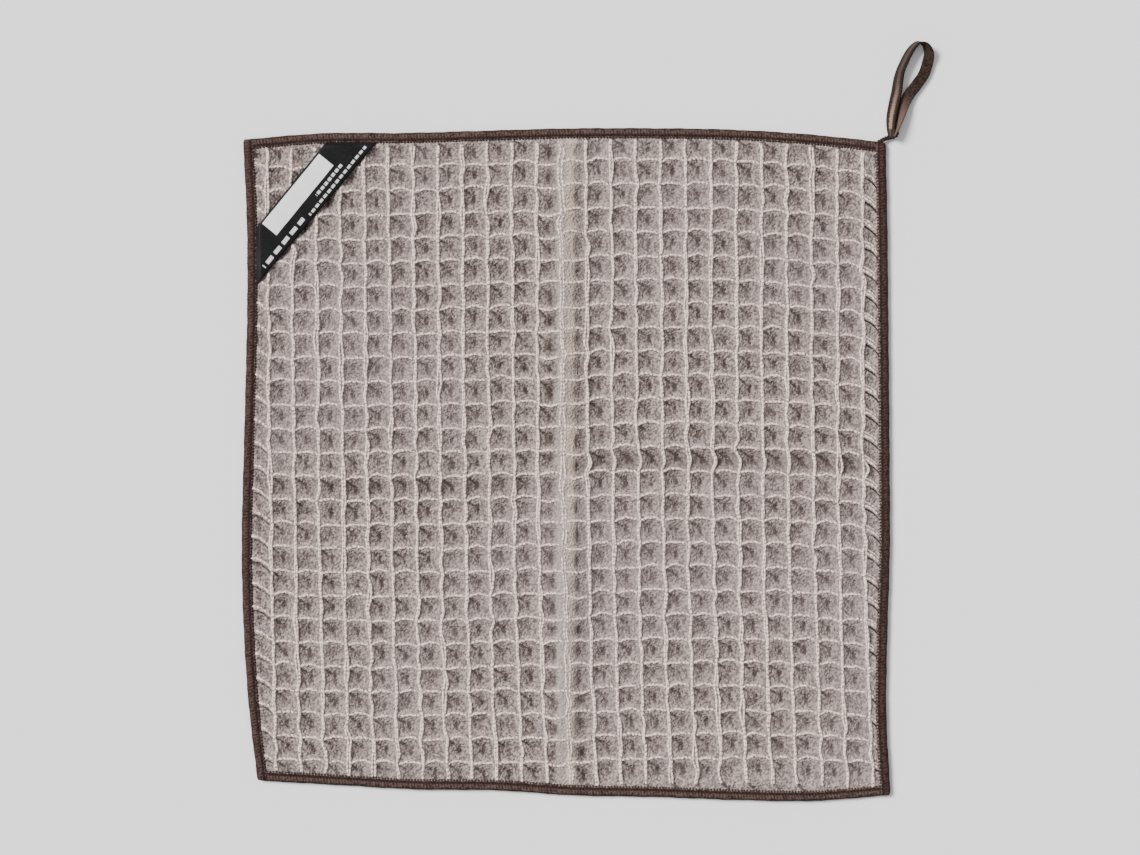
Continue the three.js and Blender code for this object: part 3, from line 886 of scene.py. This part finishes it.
# Overlocked edging
# Brown thread sewn over each side by an overlock machine. Its slanted stitches wrap the rim from
# face to back. The left and right runs pass over the ends of the other two.
EDGE_WIDTH = 4.9
STITCH = 1.4
STITCH_STEPS = 5
STITCH_SLANT = 0.8
END_ROUND = 1.6
RUN_STOPS = 1.5
EDGE_MIDDLE = 1.5
SEAM_AT = 3.3
SEAM_WIDE = 0.45
SEAM_SUNK = 0.22
THREAD_RISE = 0.12
TOOTH_LENGTH = 0.6
# Depth inside the outer edge and height of each corner of the section, from the inner end of its
# upper lip round the outside to the lower lip, and back through the slot that the rim lies in
EDGE_SECTION = (
    (4.9, 2.35),
    (4.65, 2.75),
    (4.0, 3.0),
    (3.0, 3.1),
    (2.0, 3.05),
    (1.1, 2.8),
    (0.4, 2.3),
    (0.05, 1.6),
    (0.1, 0.9),
    (0.5, 0.35),
    (1.3, 0.05),
    (2.6, 0.0),
    (3.9, 0.0),
    (4.7, 0.1),
    (4.9, 0.45),
    (4.8, 0.7),
    (3.0, 0.72),
    (1.35, 0.8),
    (1.2, 1.5),
    (1.35, 2.2),
    (3.0, 2.28),
    (4.8, 2.3),
)
OUTER_POINTS = 16
# Each run, whether it crosses over the others' ends, and how strong its painted highlight on the
# stretch of stitches and its painted shadow along the outer edge are
EDGE_RUNS = (("bottom", False, 0.9), ("right", True, 0.1), ("top", False, 0.7), ("left", True, 0.25))
THREAD_TUFTS = 900.0
THREAD_DARK = (30, 20, 18)
THREAD_PALE = (75, 54, 49)
# Painted highlight on the stretch of stitches
LIT_DARK = (48, 37, 32)
LIT_PALE = (102, 84, 75)
# Painted shadow along the outer edge
RIM_SHADOW_COLOUR = (22, 16, 14)
SEAM_COLOUR = (26, 17, 14)
FRINGE_COLOUR = (176, 161, 155)


def edging(side, crossing, painted_light_share):
    """One run of edging: the section carried along the side's outer edge. The threads are a raised
    cosine of the place along it in stitches, which leans across the width, and stand out as teeth
    at its inner edge. A crossing run is rounded off at its ends as a quarter circle. The others
    end inside the crossing runs, a little slimmer there."""
    length = np.linalg.norm(np.subtract(SIDES[side][1], SIDES[side][0]))
    stop = 0 if crossing else RUN_STOPS / length
    steps = int(length / STITCH) * STITCH_STEPS
    place = np.linspace(stop, 1 - stop, steps)
    line = side_line(side, place)
    inward = -right_of(line)[:, :2]
    section = np.array(EDGE_SECTION)
    depth, height = section[:, 0], section[:, 1]
    phase = place[:, None] * length / STITCH + STITCH_SLANT * depth[None, :] / EDGE_WIDTH
    far = place * length
    loose = 0.14 * np.sin(far * 0.31) + 0.1 * np.sin(far * 0.83 + 1)
    loose = (loose + chance.normal(0, 0.05, steps))[:, None]
    rib = (0.5 + 0.5 * np.cos(2 * np.pi * phase)) ** 0.8
    on_face = (np.arange(len(section)) < OUTER_POINTS).astype(float)
    upper = on_face * ease(1.2, 2.6, height)
    outer = on_face * ease(1.5, 0.2, depth)
    tooth = on_face * ease(4.0, 4.8, depth) * ease(1.8, 2.4, height)
    reach = depth + TOOTH_LENGTH * tooth * (rib - 0.55)
    reach = reach - THREAD_RISE * outer * rib + 0.5 * loose * outer
    seam = np.exp(-(((depth - SEAM_AT) / SEAM_WIDE) ** 2)) * upper
    rise = height + THREAD_RISE * upper * (rib - 0.5) - SEAM_SUNK * seam * (1.2 - rib)
    rise = rise + chance.normal(0, 0.035, rise.shape) * upper
    from_end = np.minimum(far, length - far)[:, None]
    if crossing:
        full = np.sqrt(1 - (1 - np.clip(from_end / END_ROUND, 0.02, 1)) ** 2)
        rise = EDGE_MIDDLE + (rise - EDGE_MIDDLE) * (0.35 + 0.65 * full)
        reach = reach + (1 - full) * 1.1 * (1 - depth / EDGE_WIDTH)
    else:
        hidden = ease(EDGE_WIDTH + 0.6, EDGE_WIDTH - 0.6, from_end)
        rise = rise + (EDGE_MIDDLE - rise) * 0.16 * hidden
    points = np.empty((steps, len(section), 3))
    points[:, :, :2] = line[:, None, :] + inward[:, None, :] * reach[:, :, None]
    points[:, :, 2] = rise
    uv = np.stack([np.broadcast_to(depth, phase.shape).ravel(), phase.ravel()], axis=1)
    faces = tube_faces(steps, len(section), clockwise=True)
    values = {"painted_light": np.full(phase.shape, painted_light_share)}
    return make_piece("edging_" + side, points.reshape(-1, 3), faces, uv=uv, values=values)


def edging_finish():
    """Dark brown spun thread. Across the width there is a painted shadow along the outer edge, a
    painted highlight that makes the stretch of stitches paler, a dark seam where they turn, and a
    fringe where grey yarn shows between them."""
    material, tree, shader = new_finish("edging_thread", 0.9, 0.1, tone(150, 130, 122))
    inside, phase = split(tree, own_map(tree))
    tufts, hairs, _ = fibres(tree, THREAD_TUFTS)
    depth = sums(tree, "ADD", inside, sums(tree, "MULTIPLY_ADD", tufts, 1.0, -0.5))
    crown = sums(tree, "COSINE", times(tree, phase, 2 * np.pi))
    thread = sums(tree, "MULTIPLY_ADD", crown, 0.1, sums(tree, "MULTIPLY_ADD", tufts, 0.8, hairs))
    lightness = spread(tree, thread, 0.7, 1.08)
    colour = mixed(tree, lightness, tone(*THREAD_DARK), tone(*THREAD_PALE))
    lit = mixed(tree, lightness, tone(*LIT_DARK), tone(*LIT_PALE))
    painted_light = named(tree, "painted_light")
    # Painted highlight on the stretch of stitches
    stretch = times(tree, lines_between(tree, depth, 1.0, 2.8, 0.35), painted_light)
    colour = mixed(tree, times(tree, stretch, 0.8), colour, lit)
    # Painted shadow along the outer edge
    rim = times(tree, spread(tree, depth, 0.9, 0.4), painted_light)
    colour = tinted(tree, colour, rim, 0.8, RIM_SHADOW_COLOUR)
    seam = lines_between(tree, depth, 3.0, 3.9, 0.25)
    colour = tinted(tree, colour, seam, 0.6, SEAM_COLOUR)
    parted = times(tree, spread(tree, crown, -0.1, -0.8), spread(tree, hairs, 0.46, 0.56))
    fringe = times(tree, parted, spread(tree, depth, 3.9, 4.4))
    colour = tinted(tree, colour, fringe, 0.75, FRINGE_COLOUR)
    tree.links.new(colour, shader.inputs["Base Color"])
    bumped(tree, shader, thread, 0.9, 0.45)
    return material


EDGING = edging_finish()
for side, crossing, painted_light_share in EDGE_RUNS:
    run = edging(side, crossing, painted_light_share)
    run.data.materials.append(EDGING)
    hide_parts("overlock_" + side)

# Corner label
# A black satin ribbon laid across the top left corner and caught under the edging at both ends.
# It has a plain white woven field near its upper edge and rows of plain marks near its lower one.
RIBBON_THICKNESS = 0.5
RIBBON_LIFT = 0.8
RIBBON_TUCK = 1.2
RIBBON_GRID = (150, 34)
# Ends of the white field along the ribbon, from where its upper edge meets the left edging, and
# its edges across the ribbon
FIELD_ALONG = (2.1, 43.7)
FIELD_ACROSS = (1.0, 9.6)
# Each row of marks: its two ends, its two edges, and the distance from one mark to the next
DASH_ROWS = (
    (-13.0, 16.0, 13.4, 15.3, 5.8),
    (28.0, 47.0, 11.5, 12.9, 2.6),
    (19.0, 60.0, 14.9, 16.1, 2.9),
)
RIBBON_TUFTS = 1500.0
RIBBON_RIB = 0.45
SATIN_DARK = (6, 5, 7)
SATIN_PALE = (19, 18, 20)
WOVEN_DARK = (226, 226, 224)
WOVEN_PALE = (248, 248, 247)


def ribbon():
    """The ribbon as a thin closed shell: a surface ruled between its two long edges. Two slow sine
    waves run along it, its long edges curl down with the sixth power of the distance from its
    middle line, and it dips under the edging at its ends."""
    near, far = np.array(LABEL_NEAR), np.array(LABEL_FAR)
    shares = [np.linspace(0, 1, count) for count in RIBBON_GRID]
    along, across = np.meshgrid(*shares)
    upper = near[0] + along[..., None] * (near[1] - near[0])
    lower = far[0] + along[..., None] * (far[1] - far[0])
    plan = upper + across[..., None] * (lower - upper)
    way = (near[1] - near[0]) / np.linalg.norm(near[1] - near[0])
    end = np.minimum(along, 1 - along) * np.linalg.norm(lower[0, -1] - lower[0, 0])
    tuck = 1 - ease(0.0, 2.6, end)
    plan = plan + way * (RIBBON_TUCK * tuck * np.sign(along - 0.5))[..., None]
    run = plan @ way
    wave = 0.16 * np.sin(run * 0.55 + across * 1.4) + 0.1 * np.sin(run * 0.27 + 2)
    curl = 0.28 * (2 * across - 1) ** 6
    height = THICKNESS + RIBBON_LIFT + wave * (1 - tuck) - curl - 1.2 * tuck
    top = np.concatenate([plan, height[..., None]], axis=-1)
    low = top.copy()
    low[..., 2] -= RIBBON_THICKNESS
    rows, columns = RIBBON_GRID[1], RIBBON_GRID[0]
    count = rows * columns
    rim = rim_of((rows, columns), list(range(rows)), list(range(columns)))
    rim = rim[:, 0] * columns + rim[:, 1]
    ahead = np.roll(rim, -1)
    wall = np.stack([rim, ahead, ahead + count, rim + count], axis=1)
    faces = [
        *grid_faces(rows, columns, 0, turned=True).tolist(),
        *grid_faces(rows, columns, count).tolist(),
        *wall.tolist(),
    ]
    aside = np.array([way[1], -way[0]])
    place = np.stack([(plan - near[0]) @ way, (plan - near[0]) @ aside], axis=-1).reshape(-1, 2)
    return make_piece(
        "corner_label_ribbon",
        np.concatenate([top.reshape(-1, 3), low.reshape(-1, 3)]),
        faces,
        uv=np.concatenate([place, place]),
    )


def ribbon_finish():
    """Black satin with fine ribs across it. The white field is woven in, with slightly uneven
    edges, and below it are the rows of plain marks."""
    material, tree, shader = new_finish("label_ribbon", 0.55, 0.0, tone(200, 200, 205))
    even = split(tree, own_map(tree))
    tufts, hairs, _ = fibres(tree, RIBBON_TUFTS)
    uneven = sums(tree, "MULTIPLY_ADD", hairs, 0.35, -0.17)
    along, across = (sums(tree, "ADD", part, uneven) for part in even)
    field_along = lines_between(tree, along, *FIELD_ALONG, 0.15)
    field_across = lines_between(tree, across, *FIELD_ACROSS, 0.15)
    woven = times(tree, field_along, field_across)
    for start, end, low, high, pitch in DASH_ROWS:
        step = sums(tree, "FLOORED_MODULO", along, pitch)
        dashes = lines_between(tree, step, 0.15 * pitch, 0.85 * pitch, 0.2)
        row = times(tree, dashes, lines_between(tree, across, low, high, 0.15))
        row = times(tree, row, lines_between(tree, even[0], start, end, 0.1))
        woven = sums(tree, "MULTIPLY_ADD", row, 0.75, woven)
    ribs = sums(tree, "SINE", times(tree, even[0], 2 * np.pi / RIBBON_RIB))
    satin = mixed(tree, spread(tree, tufts, 0.35, 0.65), tone(*SATIN_DARK), tone(*SATIN_PALE))
    white = mixed(tree, spread(tree, hairs, 0.35, 0.65), tone(*WOVEN_DARK), tone(*WOVEN_PALE))
    tree.links.new(mixed(tree, woven, satin, white), shader.inputs["Base Color"])
    bumped(tree, shader, sums(tree, "MULTIPLY_ADD", ribs, 0.3, hairs), 0.35, 0.15)
    return material


label = ribbon()
label.data.materials.append(ribbon_finish())
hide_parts("corner_label")

# Hanging loop
# A closed band of ribbed brown tape at the top right corner. It lies on its lower edge and leans
# over to the right, so its left leg shows its outer face and its right leg its inner one.
TAPE_WIDTH = 5.3
TAPE_THICKNESS = 1.0
TAPE_RIB = 0.85
LOOP_FOOT = (151.6, 150.8)
# Place right of the foot, place above it and lean in degrees, round the loop from its foot up its
# left leg and down its right one
LOOP_ROUTE = (
    (-0.4, 3.4, 34),
    (-0.2, 8.4, 50),
    (0.9, 14.4, 62),
    (2.4, 20.9, 66),
    (3.1, 26.0, 56),
    (4.0, 30.1, 44),
    (5.9, 34.7, 40),
    (7.9, 38.6, 36),
    (10.2, 41.8, 28),
    (12.7, 43.5, 14),
    (15.7, 42.2, -20),
    (17.3, 38.6, -54),
    (16.8, 34.4, -76),
    (15.0, 29.0, -80),
    (11.9, 24.4, -80),
    (8.6, 20.0, -78),
    (6.3, 15.9, -68),
    (4.7, 11.6, -52),
    (3.3, 7.2, -34),
    (2.0, 2.9, -16),
    (0.9, 0.0, -2),
    (-0.2, 0.3, 14),
)
LOOP_STEPS = 528
# Corners of the tape's section in shares of its width and thickness, its outer face first
TAPE_SECTION = (
    (-0.5, 0.0),
    (-0.47, 0.38),
    (-0.4, 0.5),
    (-0.2, 0.5),
    (0.0, 0.5),
    (0.2, 0.5),
    (0.4, 0.5),
    (0.47, 0.38),
    (0.5, 0.0),
    (0.47, -0.38),
    (0.4, -0.5),
    (0.2, -0.5),
    (0.0, -0.5),
    (-0.2, -0.5),
    (-0.4, -0.5),
    (-0.47, -0.38),
)
SELVEDGE_FROM = 0.35
TAPE_TUFTS = 1100.0
OUTER_FACE_DARK = (44, 32, 27)
# Painted highlight along the middle of the outer face, dim up the leg and bright at the foot
STRIPE_DARK = (70, 58, 53)
STRIPE_PALE = (148, 124, 108)
# Painted shadow where the upper selvedge curls in
CURL_SHADOW_COLOUR = (30, 21, 18)
# Painted shade on the inner face
INNER_SHADE_DARK = (28, 19, 15)
INNER_SHADE_PALE = (58, 43, 36)
# Painted highlight on the inner face at the foot
INNER_FOOT_HIGHLIGHT = (122, 98, 88)
# Painted shade in the troughs between the ribs
RIB_SHADE_COLOUR = (26, 18, 15)


def closed_through(values, place):
    """A Catmull-Rom curve through evenly spaced rows of values that closes on itself, read at
    places from 0 to 1."""
    values = np.asarray(values, float)
    spot = place * len(values)
    i = np.floor(spot).astype(int)
    nearest = [values[(i + shift) % len(values)] for shift in (-1, 0, 1, 2)]
    return between_middle(*nearest, (spot - i)[:, None])


def tape_loop():
    """The tape's section carried round the route. It is turned about its middle line by the lean
    and raised until its lower edge lies on the table. Its thickness swells with a cosine once
    every TAPE_RIB, and is a little more at its selvedges."""
    route = closed_through(LOOP_ROUTE, np.arange(LOOP_STEPS) / LOOP_STEPS)
    lean = np.radians(route[:, 2])[:, None]
    ahead = np.roll(route[:, :2], -1, axis=0) - np.roll(route[:, :2], 1, axis=0)
    ahead = ahead / np.linalg.norm(ahead, axis=1)[:, None]
    outward = np.stack([-ahead[:, 1], ahead[:, 0], np.zeros(LOOP_STEPS)], axis=1)
    upward = np.array([[0.0, 0.0, 1.0]])
    across = upward * np.cos(lean) - outward * np.sin(lean)
    through = upward * np.sin(lean) + outward * np.cos(lean)
    tall = (TAPE_WIDTH * np.cos(lean) + TAPE_THICKNESS * np.abs(np.sin(lean))) / 2
    middle = np.concatenate([route[:, :2] + LOOP_FOOT, tall], axis=1)
    gone = np.roll(route[:, :2], -1, axis=0) - route[:, :2]
    far = np.cumsum(np.linalg.norm(gone, axis=1))
    section = np.array(TAPE_SECTION)
    rib = 1 + 0.1 * np.cos(2 * np.pi * far / TAPE_RIB)[:, None]
    wide = section[:, 0] * TAPE_WIDTH
    selvedge = 0.94 + 0.12 * (np.abs(section[:, 0]) > SELVEDGE_FROM)
    thick = section[:, 1] * TAPE_THICKNESS * rib * selvedge
    points = middle[:, None, :] + across[:, None, :] * wide[None, :, None]
    points = points + through[:, None, :] * thick[:, :, None]
    count = len(section)
    ring = np.arange(LOOP_STEPS * count).reshape(LOOP_STEPS, count)
    next_ring = np.roll(ring, -1, axis=0)
    corners = (ring, np.roll(ring, -1, axis=1), np.roll(next_ring, -1, axis=1), next_ring)
    faces = np.stack([corner.ravel() for corner in corners], axis=1)[:, ::-1].tolist()
    width = np.broadcast_to(section[:, 0], (LOOP_STEPS, count))
    outer = np.broadcast_to((section[:, 1] > 0).astype(float), (LOOP_STEPS, count))
    uv = np.stack([width.ravel(), np.repeat(far, count)], axis=1)
    values = {"outer": outer}
    return make_piece("hanging_loop_tape", points.reshape(-1, 3), faces, uv=uv, values=values)


def tape_finish():
    """Ribbed brown tape, with painted shade in the troughs between its ribs. Its outer face has a
    painted highlight along the middle, brightest near its foot, and a painted shadow along its upper
    selvedge where it curls in. Its inner face is painted in shade, with a painted highlight at the
    foot."""
    material, tree, shader = new_finish("loop_tape", 0.9, 0.1, tone(170, 150, 140))
    across, far = split(tree, own_map(tree))
    tufts, hairs, _ = fibres(tree, TAPE_TUFTS)
    uneven = sums(tree, "ADD", across, sums(tree, "MULTIPLY_ADD", tufts, 0.2, -0.1))
    rib = sums(tree, "COSINE", times(tree, far, 2 * np.pi / TAPE_RIB))
    at_foot = spread(tree, far, 27.0, 3.0)
    # Painted highlight along the middle of the outer face, brightest at the foot
    middle = lines_between(tree, uneven, -0.12, 0.2, 0.1)
    highlight_stripe = mixed(tree, at_foot, tone(*STRIPE_DARK), tone(*STRIPE_PALE))
    outer_face = mixed(tree, middle, tone(*OUTER_FACE_DARK), highlight_stripe)
    # Painted shadow where the upper selvedge curls in
    curl_shadow = times(tree, spread(tree, uneven, 0.12, 0.3), spread(tree, far, 17.0, 27.0))
    outer_face = tinted(tree, outer_face, curl_shadow, 0.9, CURL_SHADOW_COLOUR)
    # Painted shade on the inner face, with a painted highlight at the foot
    inner = mixed(tree, spread(tree, tufts, 0.35, 0.65), tone(*INNER_SHADE_DARK), tone(*INNER_SHADE_PALE))
    inner = tinted(tree, inner, spread(tree, far, 70.0, 88.0), 0.65, INNER_FOOT_HIGHLIGHT)
    colour = mixed(tree, named(tree, "outer"), inner, outer_face)
    # Painted shade in the troughs between the ribs
    shaded = tinted(tree, colour, spread(tree, rib, 0.2, -1.0), 0.4, RIB_SHADE_COLOUR)
    tree.links.new(shaded, shader.inputs["Base Color"])
    bumped(tree, shader, sums(tree, "MULTIPLY_ADD", rib, 0.3, hairs), 0.7, 0.3)
    return material


loop = tape_loop()
loop.data.materials.append(tape_finish())
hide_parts("hanging_loop")

# Loop neck
# The chain of edging thread left at the end of the top run. It is twisted into a short cord that
# runs to the loop's foot and hooks under it.

# Places of the chain's middle line, from inside the corner of the edging to under the loop
NECK_ROUTE = (
    (145.0, 147.6, 2.6),
    (146.3, 148.6, 2.3),
    (147.8, 149.4, 1.9),
    (149.3, 150.1, 1.5),
    (150.8, 150.5, 1.3),
    (152.4, 150.8, 1.2),
    (153.8, 151.7, 1.2),
    (154.2, 152.9, 1.2),
)
STRAND_RADIUS = 0.6
STRAND_OFFSET = 0.46
NECK_TURN = 2.4
NECK_STEPS = 90
STRAND_SIDES = 8


def neck_strands():
    """Two strands wound round the neck's route like a cord: each stays at STRAND_OFFSET from it
    and goes once round it every NECK_TURN."""
    place = np.linspace(0, 1, NECK_STEPS)
    columns = [smooth_through(values, place) for values in zip(*NECK_ROUTE)]
    route = np.stack(columns, axis=1)
    step = np.linalg.norm(np.diff(route, axis=0, prepend=route[:1]), axis=1)
    far = np.cumsum(step)
    aside = right_of(route)
    paths = []
    for start in (0, np.pi):
        turn = (2 * np.pi * far / NECK_TURN + start)[:, None]
        swing = aside * np.cos(turn) + np.array([[0.0, 0.0, 1.0]]) * np.sin(turn)
        paths.append(route + STRAND_OFFSET * swing)
    return paths


neck = yarn_bundle("loop_neck_cord", neck_strands(), STRAND_RADIUS, STRAND_SIDES)
neck.data.materials.append(EDGING)
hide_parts("loop_neck")

# Stage
# A white floor, a broad soft lamp at the upper left, a plain bright room, and a camera straight
# above that takes in the frame of 1140 by 855 pixels at 0.463 mm for each.
PIXEL = 0.463
VIEW_WIDTH = 1140 * PIXEL
VIEW_CENTRE = (2.55, 15.97)
LENS = 85.0
SENSOR = 36.0
FLOOR_REACH = 3000.0
FLOOR_DROP = 0.2
STAGE_COLOUR = (250, 250, 250)
ROOM_COLOUR = (250, 250, 252)
LAMP_HEIGHT = 42
LAMP_WAY = 152
LAMP_SPREAD = 24
LAMP_STRENGTH = 5.9
ROOM_STRENGTH = 0.55


def floor():
    """A square floor just under the towel."""
    corners = np.array([(-1, -1, 0), (1, -1, 0), (1, 1, 0), (-1, 1, 0)]) * FLOOR_REACH
    mesh = bpy.data.meshes.new("floor")
    mesh.from_pydata(((corners - (0, 0, FLOOR_DROP)) * MM).tolist(), [], [(0, 1, 2, 3)])
    ground = bpy.data.objects.new("floor", mesh)
    bpy.context.scene.collection.objects.link(ground)
    material, tree, shader = new_finish("floor", 0.9, 0.0, tone(255, 255, 255))
    shader.inputs["Base Color"].default_value = tone(*STAGE_COLOUR)
    mesh.materials.append(material)


def key_lamp():
    """A broad distant lamp, soft-edged by its angle. It shines from the upper left, at LAMP_HEIGHT
    over the table and LAMP_WAY round from the right."""
    light = bpy.data.lights.new("upper_left_lamp", "SUN")
    light.angle = np.radians(LAMP_SPREAD)
    light.energy = LAMP_STRENGTH
    holder = bpy.data.objects.new("upper_left_lamp", light)
    holder.rotation_euler = (0, np.radians(90 - LAMP_HEIGHT), np.radians(LAMP_WAY))
    bpy.context.scene.collection.objects.link(holder)


floor()
key_lamp()
world = bpy.data.worlds.new("studio")
world.use_nodes = True
world.node_tree.nodes["Background"].inputs[0].default_value = tone(*ROOM_COLOUR)
world.node_tree.nodes["Background"].inputs[1].default_value = ROOM_STRENGTH
bpy.context.scene.world = world

camera = bpy.data.objects.new("camera", bpy.data.cameras.new("camera"))
camera.data.lens = LENS
camera.data.sensor_width = SENSOR
camera.location = (
    VIEW_CENTRE[0] * MM,
    VIEW_CENTRE[1] * MM,
    VIEW_WIDTH * MM * LENS / SENSOR + THICKNESS * MM,
)
bpy.context.scene.collection.objects.link(camera)
bpy.context.scene.camera = camera
